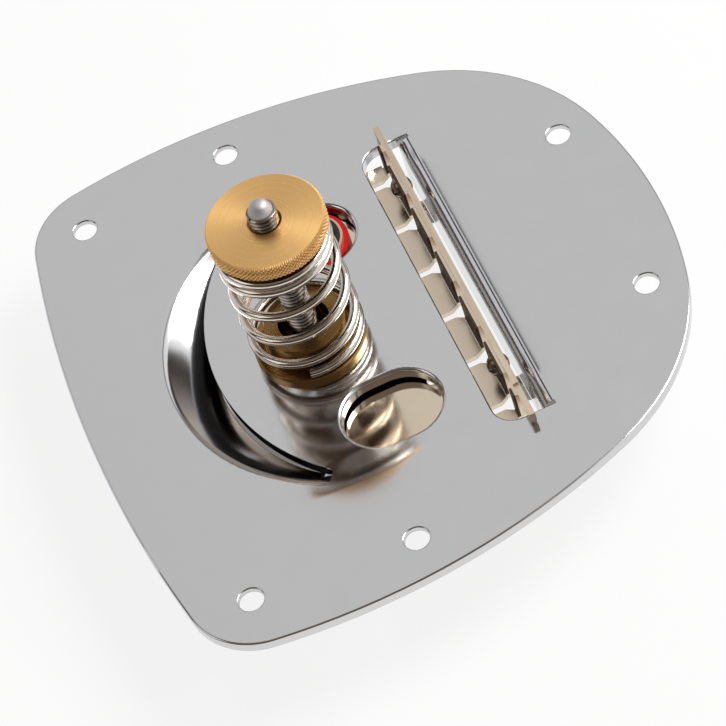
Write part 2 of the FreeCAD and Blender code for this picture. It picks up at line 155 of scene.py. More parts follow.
floor_mesh = bpy.data.meshes.new("floor")
shape = bmesh.new()
bmesh.ops.create_grid(shape, x_segments=1, y_segments=1, size=floor_half)
bmesh.ops.translate(shape, verts=shape.verts, vec=(0, 0, floor_z))
shape.to_mesh(floor_mesh)
shape.free()
floor = bpy.data.objects.new("floor", floor_mesh)
bpy.context.scene.collection.objects.link(floor)
print("floor at z in mm:", round(floor_z / mm, 2))

# %% [markdown]
# The table is white. A floor that glows white would lose its shadow, so the glow is mixed with plain pale
# paint, and the paint part still darkens under the plate. Mirrors see the glow as well. In a round patch of
# table below the hood the glow is taken away, a painted shadow where a real table would lie in deep shade.

# %% White table paint
glow_share = 0.85
shade_centre = Vector((-12, -6, 0)) * mm
shade_from = 13 * mm
shade_to = 20 * mm

# gives the eye an even white that greys a little under the part
floor_paint, tree = new_material("white_table_paint")
ray = add(tree, "ShaderNodeLightPath")
place = add(tree, "ShaderNodeTexCoord")
centred = add(
    tree, "ShaderNodeMapping",
    {"Vector": place.outputs["Object"], "Location": -shade_centre, "Scale": (1, 1, 0)},
)
reach = add(tree, "ShaderNodeVectorMath", {0: centred.outputs[0]}, operation="LENGTH")
# painted shadow: the glow fades out in a round patch of table below the hood
glow_outside_shadow_patch = add(
    tree, "ShaderNodeMapRange",
    {0: reach.outputs["Value"], 1: shade_from, 2: shade_to, 3: 0.0, 4: glow_share},
)
seen = ray.outputs["Is Camera Ray"]
for other in ("Is Glossy Ray", "Is Transmission Ray"):
    seen = add(tree, "ShaderNodeMath", {0: seen, 1: ray.outputs[other]}, operation="MAXIMUM").outputs[0]
share = add(tree, "ShaderNodeMath", {0: seen, 1: glow_outside_shadow_patch.outputs[0]}, operation="MULTIPLY")
paint = add(tree, "ShaderNodeBsdfDiffuse", {"Color": linear("#E6E6E6")})
glow = add(tree, "ShaderNodeEmission", {"Color": white, "Strength": 1.0})
mixed = add(tree, "ShaderNodeMixShader", {0: share.outputs[0], 1: paint.outputs[0], 2: glow.outputs[0]})
finish_material(tree, mixed)
dress(floor, floor_paint)
print("table shade in mm:", round(shade_from / mm), "to", round(shade_to / mm))

# %% [markdown]
# Chrome has almost no colour of its own: it shows the room. The room is painted on the world by direction,
# and its main piece is a pale grey card overhead, which the flat plate mirrors, so the plate looks an even
# grey. A dark rim runs round the card and is wider on its left. Each rounded edge of the metal runs through
# that rim, which draws the thin dark lines that make an eye read it as polished.

# %% Grey card overhead
card_left, card_right, card_low = -0.09, 0.42, 0.58
card_rim = 0.05
left_rim = 0.15
card_soft = 0.01

world = bpy.data.worlds.new("studio_room")
bpy.context.scene.world = world
world.use_nodes = True
tree = world.node_tree
tree.nodes.clear()
direction = add(tree, "ShaderNodeTexCoord")
way = add(tree, "ShaderNodeSeparateXYZ", {0: direction.outputs["Generated"]})
from_left = add(tree, "ShaderNodeMath", {0: way.outputs["X"], 1: card_left}, operation="SUBTRACT")
from_right = add(tree, "ShaderNodeMath", {0: card_right, 1: way.outputs["X"]}, operation="SUBTRACT")
from_low = add(tree, "ShaderNodeMath", {0: way.outputs["Z"], 1: card_low}, operation="SUBTRACT")
across = add(tree, "ShaderNodeMath", {0: from_left.outputs[0], 1: from_right.outputs[0]}, operation="MINIMUM")
inside = add(tree, "ShaderNodeMath", {0: across.outputs[0], 1: from_low.outputs[0]}, operation="MINIMUM")
borders = {
    "card": (inside, -card_soft, card_soft),
    "rim": (inside, -card_rim - card_soft, -card_rim),
    "strip": (from_left, -left_rim - 2 * card_soft, -left_rim),
    "above": (from_low, -card_soft, card_soft),
}
masks = {}
for name, (distance, start, full) in borders.items():
    border = add(tree, "ShaderNodeMapRange", {0: distance.outputs[0], 1: start, 2: full, 3: 0.0, 4: 1.0})
    masks[name] = border.outputs[0]
near = add(tree, "ShaderNodeMath", {0: way.outputs["X"], 1: card_right}, operation="LESS_THAN")
strip = add(tree, "ShaderNodeMath", {0: masks["strip"], 1: masks["above"]}, operation="MULTIPLY")
strip = add(tree, "ShaderNodeMath", {0: strip.outputs[0], 1: near.outputs[0]}, operation="MULTIPLY")
rim = add(tree, "ShaderNodeMath", {0: masks["rim"], 1: strip.outputs[0]}, operation="MAXIMUM")
print("room: card from", card_left, "to", card_right, "and above", card_low)

# %% [markdown]
# Round the card stand four sides, each a ramp of colours by height: a tan one behind the part with white
# above, one on the right with a dark band under white, and dark ones on the left and in front, where the
# camera stands. The coils and the hood mirror these sides, and their dark and white bands come from here.
# Each number of a ramp is the height of a direction, from 0 at the horizon to 1 straight up.

# %% Four sides of the room
sides = {
    "back": ((0.0, "#F0EEEC"), (0.05, "#AAA096"), (0.5, "#A0968C"), (0.56, "#F4F4F6"), (1.0, "#D2D2D6")),
    "right": ((0.15, "#C4BFB9"), (0.3, "#867C79"), (0.4, "#3C3633"), (0.49, "#3C3633"), (0.53, "#FFFFFF")),
    "left": ((0.16, "#CFC8C0"), (0.22, "#3E3732"), (0.6, "#4A423C"), (0.97, "#4A423C")),
    "front": (
        (0.04, "#FFFFFF"), (0.08, "#3A322C"), (0.4, "#4A4038"),
        (0.65, "#6E635A"), (0.8, "#8A7E74"), (0.96, "#6A6058"),
    ),
}
for side, colours in sides.items():
    ramp = add(tree, "ShaderNodeValToRGB", {0: way.outputs["Z"]})
    stops = ramp.color_ramp.elements
    stops[0].position, stops[0].color = colours[0][0], linear(colours[0][1])
    stops[1].position, stops[1].color = colours[-1][0], linear(colours[-1][1])
    for height, colour in colours[1:-1]:
        stops.new(height).color = linear(colour)
    sides[side] = ramp.outputs[0]
print("sides of the room:", list(sides))

# %% [markdown]
# The room is then put together like layers of paint: the back side first, then the right one, a pale wall
# and the dark side on the left, the card with its rim, and the front side over these. A mask says where a
# layer covers, with a line in X or Y where it starts and one where it is full. The right side is white where
# it comes forward. The last layer is plain white, for what the camera sees without a mirror.

# %% Room put together
edges = {
    "rightward": ("X", 0.5, 0.6, "LINEAR"),
    "beside": ("Y", 0.36, 0.3, "LINEAR"),
    "leftward": ("X", -0.18, -0.26, "LINEAR"),
    "aside": ("Y", 0.58, 0.5, "LINEAR"),
    "pale": ("X", -0.24, -0.3, "LINEAR"),
    "frontward": ("Y", 0.3, 0.1, "SMOOTHSTEP"),
    "clear": ("X", 0.45, 0.25, "SMOOTHSTEP"),
}
for name, (axis, start, full, blend) in edges.items():
    edge = add(
        tree, "ShaderNodeMapRange", {0: way.outputs[axis], 1: start, 2: full, 3: 0.0, 4: 1.0},
        interpolation_type=blend,
    )
    masks[name] = edge.outputs[0]
left = add(tree, "ShaderNodeMath", {0: masks["leftward"], 1: masks["aside"]}, operation="MULTIPLY")
front = add(tree, "ShaderNodeMath", {0: masks["frontward"], 1: masks["clear"]}, operation="MULTIPLY")
right = add(tree, "ShaderNodeMix", {0: masks["beside"], 6: sides["right"], 7: white}, data_type="RGBA")
ray = add(tree, "ShaderNodeLightPath")
layers = (
    (masks["rightward"], right.outputs[2]),
    (masks["pale"], linear("#E4E4EC")),
    (left.outputs[0], sides["left"]),
    (rim.outputs[0], linear("#3A3633")),
    (masks["card"], linear("#E0E0E0")),
    (front.outputs[0], sides["front"]),
    (ray.outputs["Is Camera Ray"], white),
)
room = sides["back"]
for mask, colour in layers:
    room = add(tree, "ShaderNodeMix", {0: mask, 6: room, 7: colour}, data_type="RGBA").outputs[2]
sky = add(tree, "ShaderNodeBackground", {"Color": room, "Strength": 1.0})
add(tree, "ShaderNodeOutputWorld", {"Surface": sky.outputs[0]})
print("layers of the room:", len(layers) + 1)

# %% [markdown]
# A large soft box on the right is the key light and a weak one on the left fills in. Both are kept out of
# the plate's own mirror line, so they light the fans on the turned brass and put a gleam on the screw and
# the wire without washing out the plate.

# %% Lamps
lamp_target = Vector((0, 0, 15)) * mm
lamps = (
    ("key_softbox", Vector((420, 30, 500)) * mm, 320 * mm, 4.0),
    ("fill_softbox", Vector((-460, 60, 360)) * mm, 300 * mm, 0.3),
)
for name, lamp_place, side, watts in lamps:
    lamp_data = bpy.data.lights.new(name, "AREA")
    lamp_data.shape = "RECTANGLE"
    lamp_data.size = side
    lamp_data.size_y = side
    lamp_data.energy = watts
    lamp = bpy.data.objects.new(name, lamp_data)
    bpy.context.scene.collection.objects.link(lamp)
    lamp.location = lamp_place
    lamp.rotation_euler = (lamp_target - lamp_place).to_track_quat("-Z", "Y").to_euler()
    print(name, "watts:", watts)

# %% [markdown]
# The base plate is pressed steel under polished chrome. Chrome is almost colourless, and what tells it from
# a perfect mirror is the little that the polishing wheel leaves: a soft haze in patches of a few
# millimetres and a very fine grain. Both are noise in Object coordinates, so they stay on the metal. The
# real grain is a few hundredths of a millimetre, too fine to show, so it is drawn about ten times coarser.

# %% Polished chrome
haze_size = 6 * mm
grain_size = 0.4 * mm
grain_depth = 0.0008 * mm
chrome_dark, chrome_pale = linear("#CFCFD0"), linear("#D5D5D5")
chrome_smooth, chrome_hazy = 0.1, 0.135

# gives the eye an even mirror with soft, slightly grainy reflections
chrome, tree = new_material("polished_chrome")
place = add(tree, "ShaderNodeTexCoord").outputs["Object"]
haze = add(tree, "ShaderNodeTexNoise", {"Vector": place, "Scale": 1 / haze_size, "Detail": 3.0})
grain = add(tree, "ShaderNodeTexNoise", {"Vector": place, "Scale": 1 / grain_size, "Detail": 2.0})
tint = add(tree, "ShaderNodeMix", {0: haze.outputs[0], 6: chrome_dark, 7: chrome_pale}, data_type="RGBA")
gloss = add(
    tree, "ShaderNodeMapRange",
    {0: haze.outputs[0], 1: noise_low, 2: noise_high, 3: chrome_smooth, 4: chrome_hazy},
)
split = add(tree, "ShaderNodeSeparateXYZ", {0: place})
along, aside, rise = (split.outputs[axis] for axis in "XYZ")
print("chrome haze in mm:", round(haze_size / mm, 2))

# %% [markdown]
# At the front of the slot the plate is folded into a tongue. A fold can't be polished to its foot, so its
# lower part is more satin. The press also pulls the sheet down a little in front of the fold. That roll is
# a fraction of a millimetre over a few, so a bump draws it: it falls off by the same share in each step
# away from the fold and fades towards the two ends of the slot.

# %% Fold of the tongue
fold_from = 26.4 * mm
fold_to = 28.46 * mm
satin_from = -0.75 * mm
satin_full = -1.25 * mm
fold_satin = 0.25
roll_length = 2.2 * mm
roll_depth = 0.3 * mm
roll_half = 30 * mm
roll_fade = 6 * mm

folded = add(tree, "ShaderNodeMath", {0: along, 1: fold_from}, operation="GREATER_THAN")
fold_end = add(tree, "ShaderNodeMath", {0: along, 1: fold_to}, operation="LESS_THAN")
satin = add(tree, "ShaderNodeMapRange", {0: rise, 1: satin_from, 2: satin_full, 3: 0.0, 4: fold_satin})
satin = add(tree, "ShaderNodeMath", {0: folded.outputs[0], 1: satin.outputs[0]}, operation="MULTIPLY")
gloss = add(
    tree, "ShaderNodeMath", {0: satin.outputs[0], 1: fold_end.outputs[0], 2: gloss.outputs[0]},
    operation="MULTIPLY_ADD",
)
ahead = add(tree, "ShaderNodeMath", {0: along, 1: fold_to}, operation="SUBTRACT")
ahead = add(tree, "ShaderNodeMath", {0: ahead.outputs[0], 1: 0.0}, operation="MAXIMUM")
ahead = add(tree, "ShaderNodeMath", {0: ahead.outputs[0], 1: -1 / roll_length}, operation="MULTIPLY")
sunk = add(tree, "ShaderNodeMath", {0: math.e, 1: ahead.outputs[0]}, operation="POWER")
outward = add(tree, "ShaderNodeMath", {0: aside}, operation="ABSOLUTE")
depth = add(
    tree, "ShaderNodeMapRange",
    {0: outward.outputs[0], 1: roll_half, 2: roll_half - roll_fade, 3: 0.0, 4: -roll_depth},
    interpolation_type="SMOOTHSTEP",
)
sunk = add(tree, "ShaderNodeMath", {0: sunk.outputs[0], 1: depth.outputs[0]}, operation="MULTIPLY")
roll = add(tree, "ShaderNodeBump", {"Height": sunk.outputs[0], "Distance": 1.0})
print("roll before the fold in mm:", round(roll_depth / mm, 2), "deep")

# %% [markdown]
# The hood is pressed out of the plate behind a curved cut, its mouth. The cut wall of the mouth and the face
# behind it, which the lever covers, are painted near black, a painted shade for the dark space under the
# hood.
# Both are picked out by place: the wall by its distance from the middle of the mouth's curve, and the covered
# face as what lies within that curve on the far side of the sheet. Products of simple masks keep the two
# tests easy to follow.

# %% Cut wall and covered face of the hood, in painted shade
mouth_centre = Vector((19.3, 0, 0)) * mm
mouth_radius = 36.6 * mm
shaded_wall_width = 0.08 * mm
wall_shade_from = -0.1 * mm
wall_shade_full = -0.25 * mm
far_side = -1.9 * mm
covered_to = 8 * mm
covered_half = 27 * mm

centred = add(
    tree, "ShaderNodeMapping", {"Vector": place, "Location": -mouth_centre, "Scale": (1, 1, 0)}
)
reach = add(tree, "ShaderNodeVectorMath", {0: centred.outputs[0]}, operation="LENGTH").outputs["Value"]
tests = {
    "edge": ({0: reach, 1: mouth_radius, 2: shaded_wall_width}, "COMPARE"),
    "behind": ({0: along, 1: 0.0}, "LESS_THAN"),
    "within": ({0: reach, 1: mouth_radius + shaded_wall_width}, "LESS_THAN"),
    "far": ({0: rise, 1: far_side}, "LESS_THAN"),
    "rearward": ({0: along, 1: covered_to}, "LESS_THAN"),
    "middle": ({0: aside, 1: 0.0, 2: covered_half}, "COMPARE"),
}
masks = {}
for name, (inputs, test) in tests.items():
    masks[name] = add(tree, "ShaderNodeMath", inputs, operation=test).outputs[0]
sunken = add(tree, "ShaderNodeMapRange", {0: rise, 1: wall_shade_from, 2: wall_shade_full, 3: 0.0, 4: 1.0})
hood_shade = sunken.outputs[0]
for name in ("edge", "behind"):
    hood_shade = add(tree, "ShaderNodeMath", {0: hood_shade, 1: masks[name]}, operation="MULTIPLY").outputs[0]
covered = masks["within"]
for name in ("far", "rearward", "middle"):
    covered = add(tree, "ShaderNodeMath", {0: covered, 1: masks[name]}, operation="MULTIPLY").outputs[0]
hood_shade = add(tree, "ShaderNodeMath", {0: hood_shade, 1: covered}, operation="MAXIMUM")
# painted shade: the cut wall of the mouth and the face that the lever covers are painted near black
tint = add(
    tree, "ShaderNodeMix", {0: hood_shade.outputs[0], 6: tint.outputs[2], 7: linear("#1C1A18")}, data_type="RGBA"
)
relief = add(
    tree, "ShaderNodeBump", {"Height": grain.outputs[0], "Distance": grain_depth, "Normal": roll.outputs[0]}
)
shader = add(
    tree, "ShaderNodeBsdfPrincipled",
    {
        "Base Color": tint.outputs[2], "Metallic": 1.0, "Roughness": gloss.outputs[0],
        "Normal": relief.outputs[0],
    },
)
finish_material(tree, shader)
for name in ("base_plate", "screw_cup"):
    dress(nodes[name], chrome)
print("raw edge at radius in mm:", round(mouth_radius / mm, 2))

# %% [markdown]
# The arm socket is a chromed tube too. Only its lower end shows in the far window, and that end is painted a
# dull dark grey, a painted shade for the dark gap round it. One material serves the tube, and a step in
# height along it turns the bright chrome into that rougher painted shade.

# %% Chromed tube with an end in painted shade
shade_above = -1.2 * mm
shade_fade = 0.1 * mm
tube_gloss = 0.12
shaded_end_satin = 0.35

# gives the eye a bright tube with a dull dark end, which is painted shade
socket_finish, tree = new_material("chrome_with_painted_shade_end")
place = add(tree, "ShaderNodeTexCoord").outputs["Object"]
split = add(tree, "ShaderNodeSeparateXYZ", {0: place})
haze = add(tree, "ShaderNodeTexNoise", {"Vector": place, "Scale": 1 / haze_size, "Detail": 3.0})
# painted shade: above this height the tube is painted dark grey
shaded_end = add(
    tree, "ShaderNodeMapRange",
    {0: split.outputs["Z"], 1: shade_above, 2: shade_above + shade_fade, 3: 0.0, 4: 1.0},
)
tint = add(tree, "ShaderNodeMix", {0: haze.outputs[0], 6: chrome_dark, 7: chrome_pale}, data_type="RGBA")
tint = add(
    tree, "ShaderNodeMix", {0: shaded_end.outputs[0], 6: tint.outputs[2], 7: linear("#4A4140")}, data_type="RGBA"
)
gloss = add(
    tree, "ShaderNodeMath", {0: shaded_end.outputs[0], 1: shaded_end_satin, 2: tube_gloss}, operation="MULTIPLY_ADD"
)
shader = add(
    tree, "ShaderNodeBsdfPrincipled",
    {"Base Color": tint.outputs[2], "Metallic": 1.0, "Roughness": gloss.outputs[0]},
)
finish_material(tree, shader)
dress(nodes["arm_socket"], socket_finish)
print("socket is dark above z in mm:", round(shade_above / mm, 2))

# %% [markdown]
# The lever is plated with nickel, which is a shade warmer than chrome. Its flat is polished where it shows
# in the near window. The lip that is bent up in the slot and the face that the hood covers are rougher and
# painted dark brown, a painted shade for the shadowed slot and the dark space under the hood, and the fingers
# of the comb are only brushed. Each of these is picked out by its place, from lines that are read from the
# lever's own box or set here.

# %% Polished nickel of the lever
smear_size = 9 * mm
lip_depth = 1.1 * mm
lip_dark = 0.6 * mm
flat_under = -2.7 * mm
flat_skin = 0.1 * mm
lip_fade = 0.15 * mm
hidden_before = -5 * mm
hidden_fade = 2 * mm
brushed_after = 17 * mm
brushed_fade = 1 * mm
nickel_gloss, brushed_gloss = 0.06, 0.24
smear_satin = 0.06
dull_satin = 0.3
lever_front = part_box("lever_plate")[1].x
lip_shade_x = lever_front - lip_depth + lip_dark / 2

# gives the eye a warm mirror with satin fingers, and a dark brown lip and covered face in painted shade
nickel, tree = new_material("polished_nickel")
place = add(tree, "ShaderNodeTexCoord").outputs["Object"]
split = add(tree, "ShaderNodeSeparateXYZ", {0: place})
along, rise = split.outputs["X"], split.outputs["Z"]
smear = add(tree, "ShaderNodeTexNoise", {"Vector": place, "Scale": 1 / smear_size, "Detail": 4.0})
# painted shade: the lip's top and rear face in the slot are picked out to be painted dark brown
ahead = add(tree, "ShaderNodeMath", {0: along, 1: lip_shade_x, 2: lip_dark / 2}, operation="COMPARE")
raised = add(tree, "ShaderNodeMapRange", {0: rise, 1: flat_under, 2: flat_under + lip_fade, 3: 0.0, 4: 1.0})
lip = add(tree, "ShaderNodeMath", {0: ahead.outputs[0], 1: raised.outputs[0]}, operation="MULTIPLY")
covered = add(
    tree, "ShaderNodeMapRange", {0: along, 1: hidden_before, 2: hidden_before - hidden_fade, 3: 0.0, 4: 1.0}
)
under = add(tree, "ShaderNodeMath", {0: rise, 1: flat_under - flat_skin}, operation="GREATER_THAN")
covered = add(tree, "ShaderNodeMath", {0: covered.outputs[0], 1: under.outputs[0]}, operation="MULTIPLY")
dull_and_painted_shade = add(tree, "ShaderNodeMath", {0: lip.outputs[0], 1: covered.outputs[0]}, operation="MAXIMUM")
tint = add(
    tree, "ShaderNodeMix", {0: smear.outputs[0], 6: linear("#DCCBB4"), 7: linear("#E6D8C4")}, data_type="RGBA"
)
# painted shade: the lip and the face that the hood covers are painted dark brown
tint = add(
    tree, "ShaderNodeMix", {0: dull_and_painted_shade.outputs[0], 6: tint.outputs[2], 7: linear("#54453A")}, data_type="RGBA"
)
gloss = add(
    tree, "ShaderNodeMapRange",
    {0: along, 1: brushed_after, 2: brushed_after + brushed_fade, 3: nickel_gloss, 4: brushed_gloss},
)
for mask, satin in ((smear, smear_satin), (dull_and_painted_shade, dull_satin)):
    gloss = add(
        tree, "ShaderNodeMath", {0: mask.outputs[0], 1: satin, 2: gloss.outputs[0]}, operation="MULTIPLY_ADD"
    )
shader = add(
    tree, "ShaderNodeBsdfPrincipled",
    {"Base Color": tint.outputs[2], "Metallic": 1.0, "Roughness": gloss.outputs[0]},
)
finish_material(tree, shader)
dress(nodes["lever_plate"], nickel)
print("lip starts at x in mm:", round((lever_front - lip_depth) / mm, 2))

# %% [markdown]
# The pivot plate and the small clip are bare steel, ground on their edges. Grinding leaves fine scratches
# that run one way, here along the length of the strip. Noise that is stretched along Y draws them: it is
# squeezed to fine steps across the scratches and left long in their direction. Real scratches are a few
# hundredths of a millimetre wide, so they are drawn about ten times coarser. The two large faces of the
# strip are smoother from the rolling mill and painted paler: partly the bright rolled finish, and partly a
# painted highlight for their lit look in the tongue's mirror.
# What lies a skin's depth inside the strip's thickness is an edge, and what lies behind it is the clip.

# %% Ground steel
scratch_width = 0.3 * mm
scratch_length = 9 * mm
scratch_depth = 0.002 * mm
ground_smooth, ground_rough = 0.34, 0.46
rolled_share = 0.2
strip_thickness = 0.97 * mm
strip_skin = 0.02 * mm
strip_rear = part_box("pivot_plate")[0].x

# gives the eye a warm, slightly brushed grey on the edges and brighter flat faces, partly painted highlight
ground_steel, tree = new_material("ground_steel")
place = add(tree, "ShaderNodeTexCoord").outputs["Object"]
lines = add(
    tree, "ShaderNodeMapping",
    {"Vector": place, "Scale": (1 / scratch_width, 1 / scratch_length, 1 / scratch_width)},
)
scratch = add(tree, "ShaderNodeTexNoise", {"Vector": lines.outputs[0], "Scale": 1.0, "Detail": 3.0})
tint = add(
    tree, "ShaderNodeMix", {0: scratch.outputs[0], 6: linear("#D2BFA6"), 7: linear("#E8D8C2")},
    data_type="RGBA",
)
gloss = add(
    tree, "ShaderNodeMapRange",
    {0: scratch.outputs[0], 1: noise_low, 2: noise_high, 3: ground_smooth, 4: ground_rough},
)
split = add(tree, "ShaderNodeSeparateXYZ", {0: place})
edge = add(
    tree, "ShaderNodeMath",
    {0: split.outputs["X"], 1: strip_rear + strip_thickness / 2, 2: strip_thickness / 2 - strip_skin},
    operation="COMPARE",
)
clip = add(tree, "ShaderNodeMath", {0: split.outputs["X"], 1: strip_rear - strip_skin}, operation="LESS_THAN")
ground = add(tree, "ShaderNodeMath", {0: edge.outputs[0], 1: clip.outputs[0]}, operation="MAXIMUM")
# the large faces are painted pale, partly the rolled finish and partly a painted highlight
tint = add(
    tree, "ShaderNodeMix", {0: ground.outputs[0], 6: linear("#EFEDEC"), 7: tint.outputs[2]}, data_type="RGBA"
)
ground = add(tree, "ShaderNodeMapRange", {0: ground.outputs[0], 1: 0.0, 2: 1.0, 3: rolled_share, 4: 1.0})
gloss = add(tree, "ShaderNodeMath", {0: gloss.outputs[0], 1: ground.outputs[0]}, operation="MULTIPLY")
relief = add(tree, "ShaderNodeBump", {"Height": scratch.outputs[0], "Distance": scratch_depth})
shader = add(
    tree, "ShaderNodeBsdfPrincipled",
    {
        "Base Color": tint.outputs[2], "Metallic": 1.0, "Roughness": gloss.outputs[0],
        "Normal": relief.outputs[0],
    },
)
finish_material(tree, shader)
for name in ("pivot_plate", "socket_clip"):
    dress(nodes[name], ground_steel)
print("scratches in mm:", round(scratch_width / mm, 2), "by", round(scratch_length / mm, 1))

# %% [markdown]
# The rivets that hold the pivot plate were set after plating, and their heads are dark: the hammer breaks
# the plating and the steel below tarnishes. Small blotches of two tones show that.

# %% Tarnished steel of the rivets
blotch_size = 0.7 * mm
rivet_smooth, rivet_rough = 0.18, 0.34

# gives the eye a dark, uneven gleam
tarnished_steel, tree = new_material("tarnished_steel")
place = add(tree, "ShaderNodeTexCoord").outputs["Object"]
blotch = add(tree, "ShaderNodeTexNoise", {"Vector": place, "Scale": 1 / blotch_size, "Detail": 4.0})
tint = add(
    tree, "ShaderNodeMix", {0: blotch.outputs[0], 6: linear("#4A4138"), 7: linear("#8C7D6C")},
    data_type="RGBA",
)
gloss = add(
    tree, "ShaderNodeMapRange",
    {0: blotch.outputs[0], 1: noise_low, 2: noise_high, 3: rivet_smooth, 4: rivet_rough},
)
shader = add(
    tree, "ShaderNodeBsdfPrincipled",
    {"Base Color": tint.outputs[2], "Metallic": 1.0, "Roughness": gloss.outputs[0]},
)
finish_material(tree, shader)
dress(nodes["pivot_rivets"], tarnished_steel)
print("rivet blotches in mm:", round(blotch_size / mm, 2))

# %% [markdown]
# The collar under the spring is turned from the same brass as the nut. It is painted darker and browner than
# the nut, a painted shade for its place inside the coils. Its lathe marks are rings about the post, so the
# noise reads the distance from the post axis: a Mapping node moves the centre to the post, and the length
# across the axis is all that the noise is given. The rings are drawn a few times coarser than real ones, so
# that they show.

# %% Brass of the collar, darkened as painted shade
ring_width = 0.25 * mm
ring_depth = 0.002 * mm
collar_smooth, collar_rough = 0.2, 0.32
collar_low, collar_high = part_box("spring_collar")
post = Vector(((collar_low.x + collar_high.x) / 2, 0, 0))

# gives the eye a dull brown brass with fine rings, its darkness painted shade
shade_darkened_brass, tree = new_material("shade_darkened_brass")
place = add(tree, "ShaderNodeTexCoord").outputs["Object"]
centred = add(tree, "ShaderNodeMapping", {"Vector": place, "Location": -post, "Scale": (1, 1, 0)})
reach = add(tree, "ShaderNodeVectorMath", {0: centred.outputs[0]}, operation="LENGTH")
ring = add(
    tree, "ShaderNodeTexNoise", {"W": reach.outputs["Value"], "Scale": 1 / ring_width, "Detail": 2.0},
    noise_dimensions="1D",
)
brown = add(tree, "ShaderNodeTexNoise", {"Vector": place, "Scale": 1 / haze_size, "Detail": 4.0})
# painted shade: both tones of the collar are darker and browner than the nut's brass
tint = add(
    tree, "ShaderNodeMix", {0: brown.outputs[0], 6: linear("#7E6038"), 7: linear("#A27E4C")}, data_type="RGBA"
)
gloss = add(
    tree, "ShaderNodeMapRange",
    {0: ring.outputs[0], 1: noise_low, 2: noise_high, 3: collar_smooth, 4: collar_rough},
)
relief = add(tree, "ShaderNodeBump", {"Height": ring.outputs[0], "Distance": ring_depth})
shader = add(
    tree, "ShaderNodeBsdfPrincipled",
    {
        "Base Color": tint.outputs[2], "Metallic": 1.0, "Roughness": gloss.outputs[0],
        "Normal": relief.outputs[0],
    },
)
finish_material(tree, shader)
dress(nodes["spring_collar"], shade_darkened_brass)
print("post axis at x in mm:", round(post.x / mm, 3))

# %% [markdown]
# Two pieces are moulded nylon: the black bushing that grips the arm and the red washer round its socket.
# Nylon is a plain plastic with a soft gloss, and its moulds leave a faint pebbled skin, which is a bump.

# %% Black nylon of the bushing
nylon_ior = 1.53
pebble_size = 0.35 * mm
black_pebble_depth = 0.01 * mm

# gives the eye a dead black with a soft sheen
black_nylon, tree = new_material("black_moulded_nylon")
place = add(tree, "ShaderNodeTexCoord").outputs["Object"]
pebble = add(tree, "ShaderNodeTexNoise", {"Vector": place, "Scale": 1 / pebble_size, "Detail": 2.0})
tint = add(
    tree, "ShaderNodeMix", {0: pebble.outputs[0], 6: linear("#141312"), 7: linear("#242220")},
    data_type="RGBA",
)
relief = add(tree, "ShaderNodeBump", {"Height": pebble.outputs[0], "Distance": black_pebble_depth})
shader = add(
    tree, "ShaderNodeBsdfPrincipled",
    {"Base Color": tint.outputs[2], "Roughness": 0.5, "IOR": nylon_ior, "Normal": relief.outputs[0]},
)
finish_material(tree, shader)
dress(nodes["arm_bushing"], black_nylon)
print("nylon pebbles in mm:", round(pebble_size / mm, 2))

# %% [markdown]
# The red washer lets a little light in under its skin, which keeps its shaded side red instead of black.
# Its shine is weak, because it lies deep in the window, and a strong one would wash the red out.

# %% Red nylon of the washer
red_pebble_depth = 0.006 * mm
red_light_depth = 0.6 * mm

# gives the eye a clear red with a soft gloss
red_nylon, tree = new_material("red_moulded_nylon")
place = add(tree, "ShaderNodeTexCoord").outputs["Object"]
pebble = add(tree, "ShaderNodeTexNoise", {"Vector": place, "Scale": 1 / pebble_size, "Detail": 2.0})
tint = add(
    tree, "ShaderNodeMix", {0: pebble.outputs[0], 6: linear("#A80A08"), 7: linear("#C21210")},
    data_type="RGBA",
)
relief = add(tree, "ShaderNodeBump", {"Height": pebble.outputs[0], "Distance": red_pebble_depth})
shader = add(
    tree, "ShaderNodeBsdfPrincipled",
    {
        "Base Color": tint.outputs[2], "Roughness": 0.32, "IOR": nylon_ior, "Specular IOR Level": 0.2,
        "Normal": relief.outputs[0], "Subsurface Weight": 0.15, "Subsurface Radius": (1.0, 0.2, 0.1),
        "Subsurface Scale": red_light_depth,
    },
)
finish_material(tree, shader)
dress(nodes["socket_washer"], red_nylon)
print("washer finish:", red_nylon.name)

# %% [markdown]
# Every piece that is made here goes through the same last steps: its doubles are merged and its faces
# turned outwards, smooth shading is set with sharp creases kept, it gets its finish, and the solid it stands
# for is hidden. A second helper is a lathe, because the nut and the screw's point are both turned.

# %% Helpers that finish and turn a piece
crease_angle = math.radians(35)
weld = 0.0005 * mm


def make_piece(name, shape, material, slot, *replaced):
    bmesh.ops.remove_doubles(shape, verts=shape.verts, dist=weld)
    bmesh.ops.recalc_face_normals(shape, faces=shape.faces)
    mesh = bpy.data.meshes.new(name)
    shape.to_mesh(mesh)
    shape.free()
    mesh.shade_smooth()
    mesh.set_sharp_from_angle(angle=crease_angle)
    piece = bpy.data.objects.new(name, mesh)
    bpy.context.scene.collection.objects.link(piece)
    dress(piece, material)
    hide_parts(*replaced)
    print(name, "faces:", len(mesh.polygons))
    return piece


def spun(shape, points, steps, centre):
    # a section of (radius, height) points in millimetres is turned about an upright axis
    verts = [shape.verts.new((centre.x + radius * mm, centre.y, height * mm)) for radius, height in points]
    edges = [shape.edges.new(pair) for pair in zip(verts, verts[1:] + verts[:1])]
    bmesh.ops.spin(
        shape, geom=verts + edges, cent=centre, axis=(0, 0, 1), dvec=(0, 0, 0),
        angle=2 * math.pi, steps=steps, use_merge=True, use_duplicate=False,
    )


print("creases are kept above degrees:", round(math.degrees(crease_angle)))

